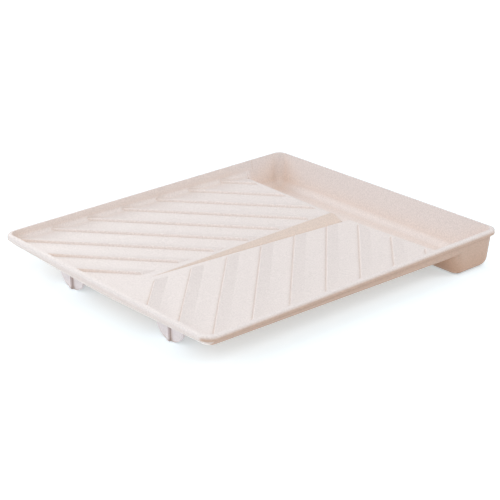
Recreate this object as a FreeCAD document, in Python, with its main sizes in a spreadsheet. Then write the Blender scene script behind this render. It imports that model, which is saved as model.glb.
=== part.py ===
import FreeCAD, Part
import math
import os
import Sketcher

# Shallow sloping tray: a ribbed floor falls gently to a well across the deep end, and from
# both sides to a drain along the middle.
# +X runs from the shallow end to the well, +Y to the left, +Z up.
# The origin is on the ground, under the middle of the lip's rectangle.

SIZES = (
    ("tray_length", 305.0, "over the lip"),
    ("tray_width", 272.0, "over the lip"),
    ("tray_height", 33.0, "ground to the top of the lip"),
    ("lip_overhang", 1.35, "lip's outer edge to the wall's outer face, at the top"),
    ("lip_depth", 4.7, "height of the lip's bead"),
    ("lip_corner_front", 11.0, "plan radius of the lip at the shallow end"),
    ("lip_corner_back", 8.5, "plan radius of the lip at the well"),
    ("lip_round", 1.9, "rounding of the lip's outer top edge"),
    ("lip_soften", 0.6, "rounding of the lip's lower edge"),
    ("wall", 1.9, "thickness of walls, floor and well"),
    ("wall_draft", 0.096, "lean of every wall, run over rise"),
    ("wall_corner", 9.6, "plan radius of the wall's outer face"),
    ("floor_drop", 13.2, "depth of the floor in the very middle of the tray"),
    ("floor_slope", 0.017, "fall of the floor towards the well, over its run"),
    ("floor_camber", 0.0215, "fall of the floor towards the centre line, over its run"),
    ("floor_fillet", 4.4, "inside rounding, floor to wall"),
    ("floor_belly", 5.8, "outside rounding, floor to wall"),
    ("ramp_end", 104.5, "X where floor and well front would meet"),
    ("ramp_round", 6.5, "rounding of the ramp's end"),
    ("well_foot", 110.6, "X where well front and well floor would meet"),
    ("well_fillet", 7.1, "inside rounding of the well's bottom"),
    ("well_belly", 9.0, "outside rounding of the well's bottom"),
    ("rib_pitch", 36.5, "rib spacing along X"),
    ("rib_count", 9.0, "ribs on each side of the drain"),
    ("rib_first", 197.1, "X where the last rib's crest would meet the centre line"),
    ("rib_angle", 47.0, "angle between a rib and the X axis, degrees"),
    ("rib_height", 2.0, "crest above the floor"),
    ("rib_rise", 1.6, "steep front flank's run along X"),
    ("rib_fall", 12.3, "gentle back flank's run along X"),
    ("rib_crest_round", 0.6, "rounding of the crest"),
    ("rib_inner", 8.0, "inner rib ends' distance from the centre line"),
    ("rib_end", 98.0, "X where the ribs stop short of the well"),
    ("rib_end_run", 2.6, "run of the slope at both ends of a rib"),
    ("drain_start", -100.0, "X where the drain starts"),
    ("drain_depth_start", 0.2, "drain's depth there"),
    ("drain_depth_end", 6.6, "drain's depth at the well"),
    ("drain_spread", 1.85, "half width of the drain over its depth"),
    ("foot_x", -131.4, "X of the feet"),
    ("foot_y", 65.0, "feet's distance from the centre line"),
    ("foot_width", 33.0, "width of a foot's web at its top"),
    ("foot_round", 13.8, "rounding of the web's lower corners"),
    ("foot_web", 3.0, "thickness of a foot's web"),
    ("foot_spine", 2.4, "thickness of a foot's spine"),
    ("foot_nose", 2.6, "spine's stand in front of the web"),
    ("plug_long", 35.8, "foot's plug, along Y"),
    ("plug_short", 7.8, "foot's plug, along X"),
    ("plug_tall", 3.0, "foot's plug, height"),
    ("plug_play", 0.1, "gap round the plug in its socket"),
    ("socket_rim", 2.0, "thickness of the socket's rim"),
    ("shoulder", 2.0, "thickness of the foot's shoulder"),
    ("foot_seat", 19.4, "height of the face the plug seats on"),
)


class Size:
    """A length that carries both its number and its expression on the sheet."""

    def __init__(self, value, text):
        self.value = value
        self.text = text

    def joined(self, other, sign, value):
        return Size(value, "(%s %s %s)" % (self.text, sign, other.text))

    def __add__(self, other):
        other = as_size(other)
        return self.joined(other, "+", self.value + other.value)

    def __sub__(self, other):
        other = as_size(other)
        return self.joined(other, "-", self.value - other.value)

    def __mul__(self, other):
        other = as_size(other)
        return self.joined(other, "*", self.value * other.value)

    def __truediv__(self, other):
        other = as_size(other)
        return self.joined(other, "/", self.value / other.value)

    def __neg__(self):
        return Size(-self.value, "(0 - %s)" % self.text)


def as_size(number):
    if isinstance(number, Size):
        return number
    return Size(float(number), "(0 - %r)" % -number if number < 0 else repr(number))


def make_sheet(doc):
    """The driving dimensions: name, number and meaning, one row each."""
    sheet = doc.addObject("Spreadsheet::Sheet", "sizes")
    sizes = {}
    for row, (alias, value, meaning) in enumerate(SIZES, start=1):
        sheet.set("A%d" % row, alias)
        sheet.set("B%d" % row, repr(value))
        sheet.set("C%d" % row, meaning)
        sheet.setAlias("B%d" % row, alias)
        sizes[alias] = Size(value, "sizes.%s" % alias)
    doc.recompute()
    return sizes


doc = FreeCAD.newDocument("ribbed_tray")
size = make_sheet(doc)
GROUND = as_size(0)
HALF = as_size(0.5)
half_length = size["tray_length"] * HALF
half_width = size["tray_width"] * HALF
top = size["tray_height"]
wall = size["wall"]
draft = size["wall_draft"]
camber = size["floor_camber"]
slope = size["floor_slope"]
outer_x = half_length - size["lip_overhang"]
outer_y = half_width - size["lip_overhang"]
inner_x = outer_x - wall
inner_y = outer_y - wall
inner_corner = size["wall_corner"] - wall
above = top + 3
floor_mid = top - size["floor_drop"]


def floor_z(x):
    """Height of the plain floor between the ribs, on the centre line at x."""
    return floor_mid - slope * x


front_run = (size["well_foot"] - size["ramp_end"]) / (floor_z(size["ramp_end"]) - wall)


def drawn_in(reach, height):
    """A wall's distance from the middle at this height; every wall leans in by the draft."""
    return reach - draft * (top - height)


# ---- helpers -----------------------------------------------------------------------------


def make_body(name):
    body = doc.addObject("PartDesign::Body", name)
    body.Label = name
    return body


def bind(target, path, length):
    target.setExpression(path, length.text)


def add_sketch(body, role, name, offset=None):
    """A sketch on one of the body's own planes, moved along the plane's normal by offset."""
    sketch = body.newObject("Sketcher::SketchObject", name)
    plane = [item for item in body.Origin.OriginFeatures if item.Role == role][0]
    sketch.AttachmentSupport = [(plane, "")]
    sketch.MapMode = "FlatFace"
    if offset is not None:
        bind(sketch, ".AttachmentOffset.Base.z", offset)
    return sketch


def add_outline(sketch, points):
    """A closed outline of straight sides; every corner is driven from the sheet."""
    first = len(sketch.Geometry)
    corners = [FreeCAD.Vector(x.value, y.value, 0) for x, y in points]
    count = len(corners)
    for number in range(count):
        side = Part.LineSegment(corners[number], corners[(number + 1) % count])
        sketch.addGeometry(side, False)
    for number in range(count):
        follower = first + (number + 1) % count
        sketch.addConstraint(Sketcher.Constraint("Coincident", first + number, 2, follower, 1))
    for number, corner in enumerate(points):
        for axis, kind, length in ((-2, "DistanceX", corner[0]), (-1, "DistanceY", corner[1])):
            side = first + number
            if abs(length.value) < 1e-9:
                sketch.addConstraint(Sketcher.Constraint("PointOnObject", side, 1, axis))
                continue
            rule = Sketcher.Constraint(kind, -1, 1, side, 1, length.value)
            place = sketch.addConstraint(rule)
            bind(sketch, "Constraints[%d]" % place, length)


def rectangle(x0, x1, y0, y1):
    return [(x0, y0), (x1, y0), (x1, y1), (x0, y1)]


def add_pad(body, sketch, length, name, symmetric=False):
    pad = body.newObject("PartDesign::Pad", name)
    pad.Profile = sketch
    bind(pad, "Length", length)
    if symmetric:
        pad.SideType = "Symmetric"
    doc.recompute()
    return pad


def add_pocket(body, sketch, name):
    """Cut the sketch's outline away on both sides of its plane; it has to remove something."""
    before = body.Shape.Volume
    pocket = body.newObject("PartDesign::Pocket", name)
    pocket.Profile = sketch
    pocket.SideType = "Symmetric"
    bind(pocket, "Length", size["tray_length"] * 4)
    doc.recompute()
    if not pocket.Shape.Volume < before - 1:
        raise RuntimeError("%s removes nothing" % name)
    return pocket


def add_fillet(body, base, radius, name, chosen):
    """Round the edges of base for which chosen(edge) holds."""
    edges = [
        "Edge%d" % number
        for number, edge in enumerate(base.Shape.Edges, start=1)
        if chosen(edge)
    ]
    fillet = body.newObject("PartDesign::Fillet", name)
    fillet.Base = (base, edges)
    bind(fillet, "Radius", radius)
    doc.recompute()
    return fillet


def is_upright(edge):
    """True for an edge that runs up a corner, leaning at most a little."""
    start, end = edge.Vertexes[0].Point, edge.Vertexes[-1].Point
    rise = abs(end.z - start.z)
    return rise > 1.0 and math.hypot(end.x - start.x, end.y - start.y) < 0.5 * rise


def span(edge):
    return edge.BoundBox


def fuse(name, pieces):
    joined = doc.addObject("Part::MultiFuse", name)
    joined.Shapes = pieces
    doc.recompute()
    return joined


def overlap(name, pieces):
    common = doc.addObject("Part::MultiCommon", name)
    common.Shapes = pieces
    doc.recompute()
    return common


def cut(name, base, tool):
    result = doc.addObject("Part::Cut", name)
    result.Base = base
    result.Tool = tool
    doc.recompute()
    return result


def add_box(name, x, y, z, low_x, low_y, low_z):
    """A box of size x, y, z with its lowest corner at low_x, low_y, low_z."""
    box = doc.addObject("Part::Box", name)
    for path, length in (
        ("Length", x), ("Width", y), ("Height", z),
        (".Placement.Base.x", low_x), (".Placement.Base.y", low_y),
        (".Placement.Base.z", low_z),
    ):
        bind(box, path, length)
    return box


# ---- the two halves of the sloping floor ----------------------------------------------------
#
# The left half is drawn in its own frame, in which the floor is the plane z = 0. Tilting that
# frame gives the floor both its slope and its camber. The right half is its mirror image.


def tilt(body):
    body.Placement = FreeCAD.Placement(
        FreeCAD.Vector(0, 0, floor_mid.value), FreeCAD.Rotation(0, 1, 1))
    body.setExpression(".Placement.Rotation.Pitch", "atan(%s)" % slope.text)
    body.setExpression(".Placement.Rotation.Roll", "atan(%s)" % camber.text)
    bind(body, ".Placement.Base.z", floor_mid)
    doc.recompute()


def both_halves(name, body):
    """The tilted left half and its mirror image, as one shape."""
    tilt(body)
    reach = size["tray_length"]
    side = add_box(name + "_side", reach * 2, reach, reach, -reach, GROUND, -reach * HALF)
    left = overlap(name + "_left", [body, side])
    right = doc.addObject("Part::Mirroring", name + "_right")
    right.Source = left
    right.Base = FreeCAD.Vector(0, 0, 0)
    right.Normal = FreeCAD.Vector(0, 1, 0)
    return fuse(name + "_pair", [left, right])


def make_half_basin(name, grow, corner, fillet, high):
    """The shallow part's left half, as a solid that is grow larger than the hollow."""
    body = make_body(name)
    front, back, lap = -inner_x - grow - 5, size["ramp_end"] + 10, as_size(-3)
    side = drawn_in(inner_y, floor_mid + camber * inner_y) + grow
    sketch = add_sketch(body, "YZ_Plane", name + "_section", front)
    add_outline(sketch, [
        (lap, -grow), (side, -grow), (side + (draft + camber) * high, high), (lap, high),
    ])
    pad = add_pad(body, sketch, back - front, name + "_pad")
    start = -drawn_in(inner_x, floor_z(-inner_x)) - grow
    lean = draft + slope
    ends = add_sketch(body, "XZ_Plane", name + "_front")
    add_outline(ends, [
        (start + lean * 5, -grow - 5), (start - lean * (high + 5), high + 5),
        (front - 5, high + 5), (front - 5, -grow - 5),
    ])
    lean_cut = add_pocket(body, ends, name + "_lean")
    corners = add_fillet(body, lean_cut, corner, name + "_corner",
                         lambda edge: is_upright(edge) and span(edge).XMax < -100
                         and span(edge).YMin > 50)
    low = -grow.value
    add_fillet(body, corners, fillet, name + "_floor_round",
               lambda edge: abs(span(edge).ZMax - low) < 0.01 and span(edge).YMax > 1
               and span(edge).XMin < back.value - 1)
    return body


def make_half_mouth():
    """What the rounding of the ramp's end takes away from the left half."""
    body = make_body("ramp_mouth")
    reach = inner_y - inner_corner - 1
    sketch = add_sketch(body, "XZ_Plane", "mouth_side", -reach)
    edge, run = size["ramp_end"], front_run * 6
    start, back = edge - size["ramp_round"] * 0.9, edge + 12
    add_outline(sketch, [
        (start, as_size(5)), (start, GROUND), (edge, GROUND),
        (edge + run, as_size(-6)), (back, as_size(-6)), (back, as_size(5)),
    ])
    pad = add_pad(body, sketch, reach + 3, "mouth_pad")
    add_fillet(body, pad, size["ramp_round"], "mouth_round",
               lambda side: abs(span(side).Center.x - edge.value) < 0.01
               and span(side).YLength > 1 and abs(span(side).ZMax) < 0.01)
    return body


def make_half_ribs():
    """Sawtooth ribs on a thin root plate that lies inside the floor."""
    body = make_body("ribs")
    low, high = as_size(-1.3), as_size(-0.3)
    start = size["rib_inner"]
    reach = inner_y - 6
    plate = add_sketch(body, "XY_Plane", "root_plan", low)
    add_outline(plate, rectangle(-inner_x + 6, size["rib_end"] - 1, start + 1, reach))
    add_pad(body, plate, high - low, "root_plate")

    angle = math.radians(size["rib_angle"].value)
    sine = Size(math.sin(angle), "sin(sizes.rib_angle * 1 deg)")
    cosine = Size(math.cos(angle), "cos(sizes.rib_angle * 1 deg)")
    crest = size["rib_first"]
    section = add_sketch(body, "XZ_Plane", "rib_section")
    add_outline(section, [
        (crest - size["rib_rise"] - 4, GROUND),
        (crest - size["rib_rise"], GROUND),
        (crest, size["rib_height"]),
        (crest + size["rib_fall"], GROUND),
        (crest + size["rib_fall"] + 3, GROUND),
        (crest + size["rib_fall"] + 3, as_size(-0.5)),
        (crest - size["rib_rise"] - 4, as_size(-0.5)),
    ])
    rib = body.newObject("PartDesign::Pad", "rib")
    rib.Profile = section
    rib.UseCustomVector = True
    rib.AlongSketchNormal = False
    rib.Direction = FreeCAD.Vector(-cosine.value, sine.value, 0)
    bind(rib, ".Direction.x", -cosine)
    bind(rib, ".Direction.y", sine)
    bind(rib, "Length", (inner_y + 5) / sine)
    doc.recompute()

    row = body.newObject("PartDesign::LinearPattern", "rib_row")
    row.Originals = [rib]
    axis = [item for item in body.Origin.OriginFeatures if item.Role == "X_Axis"][0]
    row.Direction = (axis, [""])
    row.Reversed = True
    bind(row, "Length", size["rib_pitch"] * (size["rib_count"] - 1))
    bind(row, "Occurrences", size["rib_count"])
    body.Tip = row
    doc.recompute()
    run, end = size["rib_end_run"], size["rib_end"]
    inner_ends = add_sketch(body, "YZ_Plane", "rib_inner_ends")
    add_outline(inner_ends, [
        (as_size(-50), as_size(-5)), (start, as_size(-5)), (start, GROUND),
        (start + run, size["rib_height"]), (start + run, above), (as_size(-50), above),
    ])
    add_pocket(body, inner_ends, "drain_side")
    well_ends = add_sketch(body, "XZ_Plane", "rib_well_ends")
    add_outline(well_ends, [
        (end, as_size(-5)), (end, GROUND), (end - run, size["rib_height"]),
        (end - run, above), (end * 4, above), (end * 4, as_size(-5)),
    ])
    trimmed = add_pocket(body, well_ends, "well_side")
    crest_z = size["rib_height"].value
    add_fillet(body, trimmed, size["rib_crest_round"], "rib_crests",
                        lambda edge: span(edge).ZMin > crest_z - 0.01
                        and span(edge).XLength > 5)
    return body


def make_wedge(name, start, end, drop_start, drop_end, rise, thick):
    """A V that runs along X under the floor; thick sinks it for the keel round it."""
    body = make_body(name)
    sections = []
    for number, (x, drop) in enumerate(((start, drop_start), (end, drop_end))):
        sketch = add_sketch(body, "YZ_Plane", "%s_%d" % (name, number), as_size(x))
        spread = (drop + thick + rise) * size["drain_spread"]
        add_outline(sketch, [
            (GROUND, floor_z(x) - drop - thick),
            (spread, floor_z(x) + rise),
            (-spread, floor_z(x) + rise),
        ])
        sections.append(sketch)
    loft = body.newObject("PartDesign::AdditiveLoft", name + "_loft")
    loft.Profile = sections[0]
    loft.Sections = sections[1:]
    loft.Ruled = True
    doc.recompute()
    return body


# ---- lip and well ------------------------------------------------------------------------------


def make_lip():
    """The bead round the top, as a full slab; the hollow is cut out of it later."""
    body = make_body("lip")
    low = top - size["lip_depth"]
    sketch = add_sketch(body, "XY_Plane", "lip_plan", low)
    add_outline(sketch, rectangle(-half_length, half_length, -half_width, half_width))
    pad = add_pad(body, sketch, size["lip_depth"], "lip_pad")
    front = add_fillet(body, pad, size["lip_corner_front"], "lip_front_corners",
                       lambda edge: is_upright(edge) and span(edge).XMax < 0)
    back = add_fillet(body, front, size["lip_corner_back"], "lip_back_corners",
                      lambda edge: is_upright(edge) and span(edge).XMin > 140
                      and span(edge).XLength < 0.01 and abs(span(edge).YMax) > 135.9)
    crest = add_fillet(body, back, size["lip_round"], "lip_crest",
                       lambda edge: span(edge).ZMin > top.value - 0.01)
    add_fillet(body, crest, size["lip_soften"], "lip_hem",
               lambda edge: span(edge).ZMax < low.value + 0.01)
    return body


def make_trough(name, grow, low, high, corner, fillet):
    """A tapered trough across the tray, as a solid; grow makes it larger on every side."""
    body = make_body(name)
    reach_y, reach_x = inner_y + grow, inner_x + grow
    start, far = size["ramp_end"] - 12, size["tray_length"]
    sketch = add_sketch(body, "YZ_Plane", name + "_section", start)
    add_outline(sketch, [
        (-drawn_in(reach_y, low), low), (drawn_in(reach_y, low), low),
        (drawn_in(reach_y, high), high), (-drawn_in(reach_y, high), high),
    ])
    add_pad(body, sketch, far - start, name + "_pad")
    ends = add_sketch(body, "XZ_Plane", name + "_ends")
    add_outline(ends, [
        (drawn_in(reach_x, low - 5), low - 5), (drawn_in(reach_x, high + 5), high + 5),
        (far * 2, high + 5), (far * 2, low - 5),
    ])
    foot = size["well_foot"] - grow
    add_outline(ends, [
        (start - 5, low - 5), (foot + front_run * (wall - low + 5), low - 5),
        (foot - front_run * (high + 5 - wall), high + 5), (start - 5, high + 5),
    ])
    lean_cut = add_pocket(body, ends, name + "_lean")
    inside_start = start.value + 1
    corners = add_fillet(body, lean_cut, corner, name + "_corners",
                         lambda edge: is_upright(edge) and span(edge).XMin > inside_start
                         and abs(span(edge).Center.y) > 100)
    add_fillet(body, corners, fillet, name + "_round",
               lambda edge: span(edge).ZMax < low.value + 0.01
               and span(edge).XMax > inside_start)
    return body


# ---- feet ------------------------------------------------------------------------------------


def side_of(sign):
    return size["foot_y"] if sign > 0 else -size["foot_y"]


def make_socket(name, sign):
    """The socket's block under the floor, and the pocket in it, for the foot on one side."""
    rim, seat = size["socket_rim"], size["foot_seat"]
    hole_x = size["plug_short"] + size["plug_play"] * 2
    hole_y = size["plug_long"] + size["plug_play"] * 2
    low = seat - size["plug_tall"]
    mid_x, mid_y = size["foot_x"], side_of(sign)
    block = add_box(name + "_block", hole_x + rim * 2, hole_y + rim * 2, size["plug_tall"] + 2,
                    mid_x - hole_x * HALF - rim, mid_y - hole_y * HALF - rim, low)
    hole = add_box(name + "_hole", hole_x, hole_y, size["plug_tall"] + 1,
                   mid_x - hole_x * HALF, mid_y - hole_y * HALF, low - 1)
    return block, hole


def make_foot(name, sign):
    """One push-in foot: a plug, a shoulder, a web across the tray and a spine along it."""
    body = make_body(name)
    mid_x, mid_y = size["foot_x"], side_of(sign)
    seat, rim = size["foot_seat"], size["socket_rim"]
    collar = seat - size["plug_tall"]
    under = collar - size["shoulder"]
    plug_x, plug_y = size["plug_short"] * HALF, size["plug_long"] * HALF
    reach = size["plug_play"] + rim

    plug = add_sketch(body, "XY_Plane", name + "_plug_plan", collar)
    add_outline(plug, rectangle(mid_x - plug_x, mid_x + plug_x, mid_y - plug_y, mid_y + plug_y))
    add_pad(body, plug, size["plug_tall"], name + "_plug")

    shoulder = add_sketch(body, "XY_Plane", name + "_shoulder_plan", under)
    add_outline(shoulder, rectangle(mid_x - plug_x - reach, mid_x + plug_x + reach,
                                    mid_y - plug_y - reach, mid_y + plug_y + reach))
    add_pad(body, shoulder, size["shoulder"], name + "_shoulder")

    spine = add_sketch(body, "XZ_Plane", name + "_spine_side", -mid_y)
    nose = mid_x - size["foot_web"] * HALF - size["foot_nose"]
    heel = mid_x + size["plug_short"] * HALF
    add_outline(spine, [
        (nose, under), (nose, as_size(1.4)), (nose + 1.2, GROUND),
        (heel - 2, GROUND), (heel, under),
    ])
    add_pad(body, spine, size["foot_spine"], name + "_spine", symmetric=True)

    web = add_sketch(body, "YZ_Plane", name + "_web_front", mid_x)
    half = size["foot_width"] * HALF
    add_outline(web, rectangle(mid_y - half, mid_y + half, GROUND, under))
    pad = add_pad(body, web, size["foot_web"], name + "_web", symmetric=True)
    edge_y = half.value - 0.1
    add_fillet(body, pad, size["foot_round"], name + "_web_round",
               lambda edge: span(edge).ZMax < 0.01
               and abs(span(edge).Center.y - mid_y.value) > edge_y)
    return body


# ---- assembly ----------------------------------------------------------------------------------

keel = make_wedge("drain_keel", size["drain_start"], size["ramp_end"],
                  size["drain_depth_start"], size["drain_depth_end"], as_size(-1), wall * 1.25)
drain = make_wedge("drain", size["drain_start"], size["ramp_end"] + 6,
                   size["drain_depth_start"], size["drain_depth_end"],
                   size["rib_height"] + 0.5, GROUND)

FEET = (("foot_left", 1), ("foot_right", -1))
sockets = [make_socket(name + "_socket", sign) for name, sign in FEET]
socket_blocks = [block for block, hole in sockets]
socket_holes = [hole for block, hole in sockets]

basin_raw = both_halves("basin_block", make_half_basin(
    "basin_block", wall, size["wall_corner"], size["floor_belly"], size["floor_drop"] + 2))
level = add_box("level", size["tray_length"], size["tray_width"], top - 1,
                -half_length, -half_width, GROUND)
basin_block = overlap("basin_outside", [basin_raw, level])
well_block = make_trough("well_block", wall, GROUND, top - 1, size["wall_corner"],
                         size["well_belly"])
outside = fuse("outside", [make_lip(), basin_block, well_block, keel] + socket_blocks)

basin = both_halves("basin", make_half_basin(
    "basin", GROUND, inner_corner, size["floor_fillet"], size["floor_drop"] + 8))
trough = make_trough("well_trough", GROUND, wall, above, inner_corner, size["well_fillet"])
mouth = both_halves("mouth", make_half_mouth())
inside = fuse("inside", [basin, trough, mouth])
shell = cut("shell", outside, inside)

limit = both_halves("rib_limit", make_half_basin(
    "rib_limit", as_size(0.8), inner_corner + 0.8, size["floor_fillet"] + 0.8,
    size["floor_drop"] - 5))
ribs = overlap("trimmed_ribs", [both_halves("rib", make_half_ribs()), limit])
ribbed = fuse("ribbed", [shell, ribs])
hollows = fuse("hollows", [drain] + socket_holes)
tray = cut("tray", ribbed, hollows)
tray.Label = "tray"
parts = [tray] + [make_foot(name, sign) for name, sign in FEET]

# ---- checks and files --------------------------------------------------------------------------

doc.recompute()
for item in doc.Objects:
    if "Invalid" in item.State or "Error" in item.State:
        raise RuntimeError("%s failed to recompute" % item.Name)
for part in parts:
    if part.Shape.isNull() or not part.Shape.isValid():
        raise RuntimeError("%s has no valid shape" % part.Label)
    if len(part.Shape.Solids) != 1:
        raise RuntimeError("%s is %d solids" % (part.Label, len(part.Shape.Solids)))

os.makedirs("parts", exist_ok=True)
for part in parts:
    box = part.Shape.BoundBox
    print("%-12s %7.1f mm3  X %.1f..%.1f  Y %.1f..%.1f  Z %.1f..%.1f" % (
        part.Label, part.Shape.Volume, box.XMin, box.XMax, box.YMin, box.YMax, box.ZMin,
        box.ZMax))
    part.Shape.exportStep(os.path.join("parts", part.Label + ".step"))
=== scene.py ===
import math

import bpy
from mathutils import Matrix, Vector


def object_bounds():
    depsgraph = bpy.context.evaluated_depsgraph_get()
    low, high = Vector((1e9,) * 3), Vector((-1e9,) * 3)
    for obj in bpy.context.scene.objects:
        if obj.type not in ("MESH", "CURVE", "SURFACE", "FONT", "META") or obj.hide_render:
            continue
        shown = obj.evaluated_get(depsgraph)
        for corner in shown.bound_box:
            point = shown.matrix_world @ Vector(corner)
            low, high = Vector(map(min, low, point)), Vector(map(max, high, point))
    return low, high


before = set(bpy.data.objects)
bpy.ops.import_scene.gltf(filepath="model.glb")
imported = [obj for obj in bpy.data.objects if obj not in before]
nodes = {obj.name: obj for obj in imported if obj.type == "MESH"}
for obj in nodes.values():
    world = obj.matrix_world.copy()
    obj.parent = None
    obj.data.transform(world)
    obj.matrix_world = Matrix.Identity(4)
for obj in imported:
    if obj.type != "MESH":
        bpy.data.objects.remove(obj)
cad_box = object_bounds()
RIM = cad_box[1].z

# ---- sizes, in metres ------------------------------------------------------------------------

# The middle of the tray's wall, which parts its inner skin from its outer skin, on which shade is
# painted.
WALL_LEAN = 0.096                       # run over rise of the side and end walls
WELL_LEAN = 0.379                       # the same for the well's front
FLOOR_LEVEL = 0.0188                    # height in the middle of the tray
FLOOR_SLOPE = 0.017                     # fall towards the well
FLOOR_CAMBER = 0.0215                   # fall towards the centre line
DRAIN_DEPTH = 0.0033                    # in the middle of the tray
DRAIN_FALL = 0.0313                     # how fast the drain deepens towards the well
DRAIN_FLANK = 0.54                      # how fast it rises away from the centre line
WELL_CORNER_X, WELL_CORNER_Y = 0.1190, 0.12505      # axis of the well's front corners

# Each mask of painted shade fades in from its first distance to its second.
SIDE_WALL = (0.1333, 0.1339)
END_WALL = (0.1498, 0.1504)
BACK_CORNER = (0.2784, 0.2792)          # X + Y
FRONT_CORNER = (0.2776, 0.2812)         # Y - X
WELL_BASE = (0.0012, 0.0006)
WELL_SIDE_BELLY = (0.1276, 0.1284)      # Y - Z
WELL_END_BELLY = (0.1441, 0.1449)       # X - Z
FLOOR_BELLY = (0.1303, 0.1310)          # Y - height above the floor
BELLY_END = (0.1115, 0.1105)
UNDER_FLOOR = (0.0, -0.0006)
WELL_CORNER_RADIUS = (0.0084, 0.0089)
WELL_FRONT = (0.1095, 0.1105)
DRAIN_EDGE = (0.0, 0.0004)
DRAIN_END = (0.107, 0.104)
RIM_FADE = (0.0002, 0.0030)             # below the rim's top

# The shallow end's lip gets part of the painted shade of the outer skin.
SHALLOW_END_SHADE = 0.36                 # share of the outer tone on the shallow end's lip
# Reach of the painted shade in creases.
CREASE_SHADE_REACH = 0.0035
# Reach of the warm painted shade in deep hollows.
HOLLOW_SHADE_REACH = 0.035

# ---- materials -------------------------------------------------------------------------------

WHITE = (1, 1, 1)
# Tones of painted shade: in creases, in deep hollows, in the drain and on the outer skin.
CREASE_SHADE_TONE = (0.66, 0.58, 0.52)
HOLLOW_SHADE_TONE = (0.98, 0.86, 0.75)
DRAIN_SHADE_TONE = (0.93, 0.86, 0.79)
OUTER_SHADE_TONE = (0.62, 0.452, 0.352)


class Nodes:
    """Short way to build a material's node tree."""

    def __init__(self, name):
        self.material = bpy.data.materials.new(name)
        self.material.use_nodes = True
        self.tree = self.material.node_tree
        self.shader = self.tree.nodes["Principled BSDF"]

    def add(self, kind, **settings):
        """Add a node; each setting is a property of it or else one of its inputs."""
        node = self.tree.nodes.new(kind)
        for key, value in settings.items():
            if hasattr(node, key):
                setattr(node, key, value)
            else:
                node.inputs[key.replace("_", " ")].default_value = value
        return node

    def link(self, source, target):
        self.tree.links.new(source, target)

    def noise(self, place, scale, detail, rough=0.5):
        node = self.add("ShaderNodeTexNoise", Scale=scale, Detail=detail, Roughness=rough)
        self.link(place, node.inputs["Vector"])
        return node.outputs["Fac"]

    def occlusion(self, reach):
        node = self.add("ShaderNodeAmbientOcclusion", samples=12, Distance=reach)
        return node.outputs["AO"]

    def split(self, vector):
        node = self.add("ShaderNodeSeparateXYZ")
        self.link(vector, node.inputs["Vector"])
        return [node.outputs[axis] for axis in "XYZ"]

    def math(self, operation, *values):
        node = self.add("ShaderNodeMath", operation=operation)
        for number, value in enumerate(values):
            if isinstance(value, (int, float)):
                node.inputs[number].default_value = value
            else:
                self.link(value, node.inputs[number])
        return node.outputs["Value"]

    def step(self, source, low, high):
        """Fade from 0 at low to 1 at high."""
        node = self.add("ShaderNodeMapRange", From_Min=low, From_Max=high)
        self.link(source, node.inputs["Value"])
        return node.outputs["Result"]

    def ramp(self, source, low, high, colour_low, colour_high):
        node = self.add("ShaderNodeValToRGB")
        node.color_ramp.elements[0].position = low
        node.color_ramp.elements[1].position = high
        node.color_ramp.elements[0].color = (*colour_low, 1)
        node.color_ramp.elements[1].color = (*colour_high, 1)
        self.link(source, node.inputs["Fac"])
        return node.outputs["Color"]

    def blend(self, kind, factor, first, second):
        node = self.add("ShaderNodeMix", data_type="RGBA", blend_type=kind)
        node.inputs["Factor"].default_value = factor
        self.link(first, node.inputs["A"])
        self.link(second, node.inputs["B"])
        return node.outputs["Result"]

    def multiply(self, first, second):
        return self.blend("MULTIPLY", 1.0, first, second)


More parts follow.
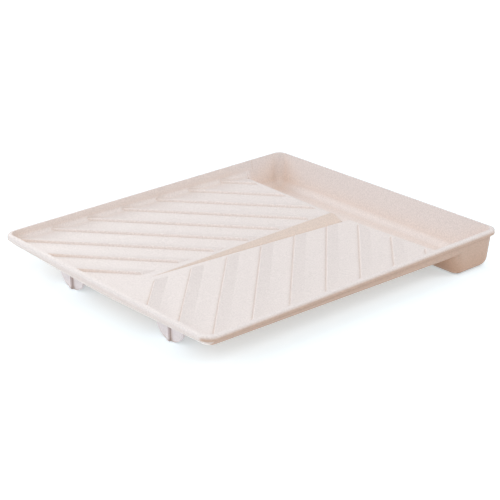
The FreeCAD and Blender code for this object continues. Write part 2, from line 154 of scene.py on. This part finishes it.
def outer_shade_masks(make, place, normal):
    """Two masks of painted shade: 1 on the tray's outer skin, and 1 in the drain."""
    x, y, z = make.split(place)
    depth = make.math("SUBTRACT", RIM, z)
    lean = make.math("MULTIPLY", depth, WALL_LEAN)
    side = make.math("ABSOLUTE", y)
    wide = make.math("ADD", side, lean)
    long = make.math("ADD", x, lean)
    back = make.math("SUBTRACT", lean, x)

    # Height above the middle of the floor, which dips along the drain.
    drain = make.math("MULTIPLY_ADD", side, -DRAIN_FLANK,
                      make.math("MULTIPLY_ADD", x, DRAIN_FALL, DRAIN_DEPTH))
    level = make.math("MULTIPLY_ADD", side, FLOOR_CAMBER,
                      make.math("MULTIPLY_ADD", x, -FLOOR_SLOPE, FLOOR_LEVEL))
    level = make.math("SUBTRACT", level, make.math("MAXIMUM", drain, 0.0))
    above = make.math("SUBTRACT", z, level)

    # Painted shade under the floor and round the well's front corners.
    front = make.math("MULTIPLY_ADD", z, WELL_LEAN, x)
    ahead = make.math("MAXIMUM", make.math("SUBTRACT", WELL_CORNER_X, front), 0.0)
    aside = make.math("MAXIMUM", make.math("SUBTRACT", wide, WELL_CORNER_Y), 0.0)
    corner = make.math("SQRT", make.math("MULTIPLY_ADD", ahead, ahead,
                                         make.math("MULTIPLY", aside, aside)))
    facing = make.split(normal)[1]
    outward = make.step(make.math("MULTIPLY", facing, y), 0.005, 0.015)
    below = make.math("MAXIMUM", make.step(above, *UNDER_FLOOR),
                      make.math("MULTIPLY", make.step(front, *WELL_FRONT), outward))
    outer_shade = make.math("MULTIPLY", make.step(corner, *WELL_CORNER_RADIUS), below)
    belly = make.math("MULTIPLY", make.step(front, *BELLY_END),
                      make.step(make.math("SUBTRACT", wide, above), *FLOOR_BELLY))
    outer_shade = make.math("MAXIMUM", outer_shade, belly)

    # Painted shade on the outside of the walls and of the well.
    for distance, limits in (
        (wide, SIDE_WALL),
        (long, END_WALL),
        (make.math("ADD", wide, long), BACK_CORNER),
        (make.math("ADD", wide, back), FRONT_CORNER),
        (z, WELL_BASE),
        (make.math("SUBTRACT", wide, z), WELL_SIDE_BELLY),
        (make.math("SUBTRACT", long, z), WELL_END_BELLY),
    ):
        outer_shade = make.math("MAXIMUM", outer_shade, make.step(distance, *limits))
    shallow_end_shade = make.math("MULTIPLY", make.step(back, *END_WALL), SHALLOW_END_SHADE)
    outer_shade = make.math("MAXIMUM", outer_shade, shallow_end_shade)
    outer_shade = make.math("MULTIPLY", outer_shade, make.step(depth, *RIM_FADE))

    # Mask of painted shade in the drain, whose far bank faces away from the light.
    drain_shade = make.math("MULTIPLY", make.step(drain, *DRAIN_EDGE), make.step(x, *DRAIN_END))
    return outer_shade, drain_shade


def plastic(name, colour, speckle, has_hollow_and_outer_shade):
    """Satin moulded plastic: fine mineral specks, faint cloudiness and a spark-eroded grain, with
    painted shade in creases; the tray also gets painted shade in deep hollows, in the drain and
    on its outer skin.
    """
    make = Nodes(name)
    coords = make.add("ShaderNodeTexCoord")
    place = coords.outputs["Object"]
    dark = tuple(c * (1 - speckle) for c in colour)
    light = tuple(min(1.0, c * (1 + speckle * 0.6)) for c in colour)
    dull = tuple(c * 0.985 for c in colour)
    cloud = make.ramp(make.noise(place, 18, 3), 0.3, 0.7, dull, colour)
    specks = make.ramp(make.noise(place, 900, 2, 0.6), 0.34, 0.66, dark, light)
    base = make.blend("MIX", 0.5, cloud, specks)
    # Painted shade along creases and at the foot of steep faces.
    crease_shade = make.occlusion(CREASE_SHADE_REACH)
    base = make.multiply(base, make.ramp(crease_shade, 0.45, 0.93, CREASE_SHADE_TONE, WHITE))
    if has_hollow_and_outer_shade:
        # Warm painted shade in deep hollows, such as the well's far corner.
        hollow_shade = make.occlusion(HOLLOW_SHADE_REACH)
        # Masks of painted shade on the outer skin and in the drain.
        outer_shade, drain = outer_shade_masks(make, place, coords.outputs["Normal"])
        base = make.multiply(base, make.ramp(hollow_shade, 0.30, 0.85, HOLLOW_SHADE_TONE, WHITE))
        # Painted shade in the drain.
        base = make.multiply(base, make.ramp(drain, 0.0, 1.0, WHITE, DRAIN_SHADE_TONE))
        # Painted shade: the outer skin tan and darker, like a side turned from the light.
        base = make.multiply(base, make.ramp(outer_shade, 0.0, 1.0, WHITE, OUTER_SHADE_TONE))
    make.link(base, make.shader.inputs["Base Color"])

    gloss = make.add("ShaderNodeMapRange", To_Min=0.37, To_Max=0.47)
    make.link(make.noise(place, 60, 4), gloss.inputs["Value"])
    make.link(gloss.outputs["Result"], make.shader.inputs["Roughness"])
    grain = make.add("ShaderNodeBump", Strength=0.12, Distance=0.0001)
    make.link(make.noise(place, 2200, 2), grain.inputs["Height"])
    make.link(grain.outputs["Normal"], make.shader.inputs["Normal"])
    make.shader.inputs["IOR"].default_value = 1.5
    return make.material


# ---- pieces ----------------------------------------------------------------------------------


def crease_flat_faces(mesh, least_angle, least_width):
    """Mark as sharp every shallow edge between two broad flat faces; curved faces stay smooth."""
    def spot(index):
        return tuple(round(c * 1e6) for c in mesh.vertices[index].co)

    beside = {}
    for polygon in mesh.polygons:
        for first, second in polygon.edge_keys:
            beside.setdefault(frozenset((spot(first), spot(second))), []).append(polygon)
    group = list(range(len(mesh.polygons)))

    def root(number):
        while group[number] != number:
            number = group[number]
        return number

    for pair in beside.values():
        if len(pair) == 2 and pair[0].normal.dot(pair[1].normal) > 0.99999:
            group[root(pair[0].index)] = root(pair[1].index)
    area, reach = {}, {}
    for polygon in mesh.polygons:
        top = root(polygon.index)
        area[top] = area.get(top, 0) + polygon.area
        reach.setdefault(top, []).extend(mesh.vertices[v].co for v in polygon.vertices)
    width = {}
    for top, points in reach.items():
        spread = [max(p[axis] for p in points) - min(p[axis] for p in points)
                  for axis in range(3)]
        width[top] = area[top] / max(Vector(spread).length, 1e-6)
    for edge in mesh.edges:
        pair = beside.get(frozenset(spot(v) for v in edge.vertices), ())
        if len(pair) == 2:
            angle = pair[0].normal.angle(pair[1].normal, 0)
            if angle > least_angle and all(width[root(p.index)] > least_width for p in pair):
                edge.use_edge_sharp = True


def dress(piece, look):
    """Give a CAD body its material and clean shading; its shape stays as it is."""
    piece.data.materials.clear()
    piece.data.materials.append(look)
    for polygon in piece.data.polygons:
        polygon.use_smooth = True
    crease_flat_faces(piece.data, math.radians(6), 0.003)
    weld = piece.modifiers.new("weld", "WELD")
    weld.merge_threshold = 1e-6
    split = piece.modifiers.new("sharp", "EDGE_SPLIT")
    split.split_angle = math.radians(34)
    even = piece.modifiers.new("even", "WEIGHTED_NORMAL")
    even.keep_sharp = True


tray_look = plastic("tray_plastic", (0.855, 0.79, 0.77), 0.20, True)
foot_look = plastic("foot_plastic", (0.82, 0.735, 0.735), 0.16, False)
dress(nodes["tray"], tray_look)
dress(nodes["foot_left"], foot_look)
dress(nodes["foot_right"], foot_look)

# ---- floor, light, camera --------------------------------------------------------------------


def studio_floor(reach):
    """A sheet of pale paper, which glows a little so that it goes to white."""
    mesh = bpy.data.meshes.new("studio_floor")
    mesh.from_pydata([(-reach, -reach, 0), (reach, -reach, 0), (reach, reach, 0),
                      (-reach, reach, 0)], [], [(0, 1, 2, 3)])
    floor = bpy.data.objects.new("studio_floor", mesh)
    bpy.context.collection.objects.link(floor)
    make = Nodes("paper")
    place = make.add("ShaderNodeTexCoord").outputs["Object"]
    tone = make.ramp(make.noise(place, 3, 2), 0.3, 0.7, (0.83, 0.90, 0.95), (0.85, 0.92, 0.97))
    make.link(tone, make.shader.inputs["Base Color"])
    make.shader.inputs["Roughness"].default_value = 0.9
    make.shader.inputs["Specular IOR Level"].default_value = 0.0
    make.shader.inputs["Emission Color"].default_value = (0.80, 0.94, 1, 1)
    make.shader.inputs["Emission Strength"].default_value = 0.42
    mesh.materials.append(make.material)


def add_area(name, place, size, power):
    """A rectangular lamp that points at the origin."""
    data = bpy.data.lights.new(name, "AREA")
    data.shape = "RECTANGLE"
    data.size, data.size_y = size
    data.energy = power
    lamp = bpy.data.objects.new(name, data)
    bpy.context.collection.objects.link(lamp)
    lamp.location = place
    lamp.rotation_mode = "QUATERNION"
    lamp.rotation_quaternion = (-Vector(place)).to_track_quat("-Z", "Y")


def light_world(strength):
    world = bpy.data.worlds.new("studio")
    bpy.context.scene.world = world
    world.use_nodes = True
    sky = world.node_tree.nodes["Background"]
    sky.inputs["Color"].default_value = (1, 1, 1, 1)
    sky.inputs["Strength"].default_value = strength


def add_camera(lens, place, right, down, ahead):
    data = bpy.data.cameras.new("camera")
    camera = bpy.data.objects.new("camera", data)
    bpy.context.collection.objects.link(camera)
    bpy.context.scene.camera = camera
    data.lens = lens
    data.sensor_width = 36
    data.clip_start, data.clip_end = 0.05, 30
    turn = Matrix((right, -down, -ahead)).transposed().to_4x4()
    camera.matrix_world = Matrix.Translation(place) @ turn


studio_floor(6.0)
for name, place, size, power in (
    ("near_left", (-1.76, -2.34, 2.34), (2.1, 1.8), 29),
    ("near_right", (1.8, -2.2, 2.2), (2.1, 1.8), 31),
    ("far_left", (-1.9, 2.1, 2.1), (2.0, 1.8), 22),
    ("left", (-2.9, 0.2, 1.6), (1.8, 1.8), 17),
    ("far", (0.6, 2.9, 1.5), (2.6, 1.5), 24),
    ("overhead", (0.2, 0.1, 2.6), (2.2, 2.2), 12),
):
    add_area(name, place, size, power)
light_world(0.35)
add_camera(
    lens=107.24,
    place=(-0.7229, -0.8753, 0.4552 + RIM),
    right=Vector((0.76485, -0.64383, -0.02196)),
    down=Vector((-0.26313, -0.28111, -0.92290)),
    ahead=Vector((0.58801, 0.71166, -0.38442)),
)

bpy.context.scene.view_settings.view_transform = "Standard"
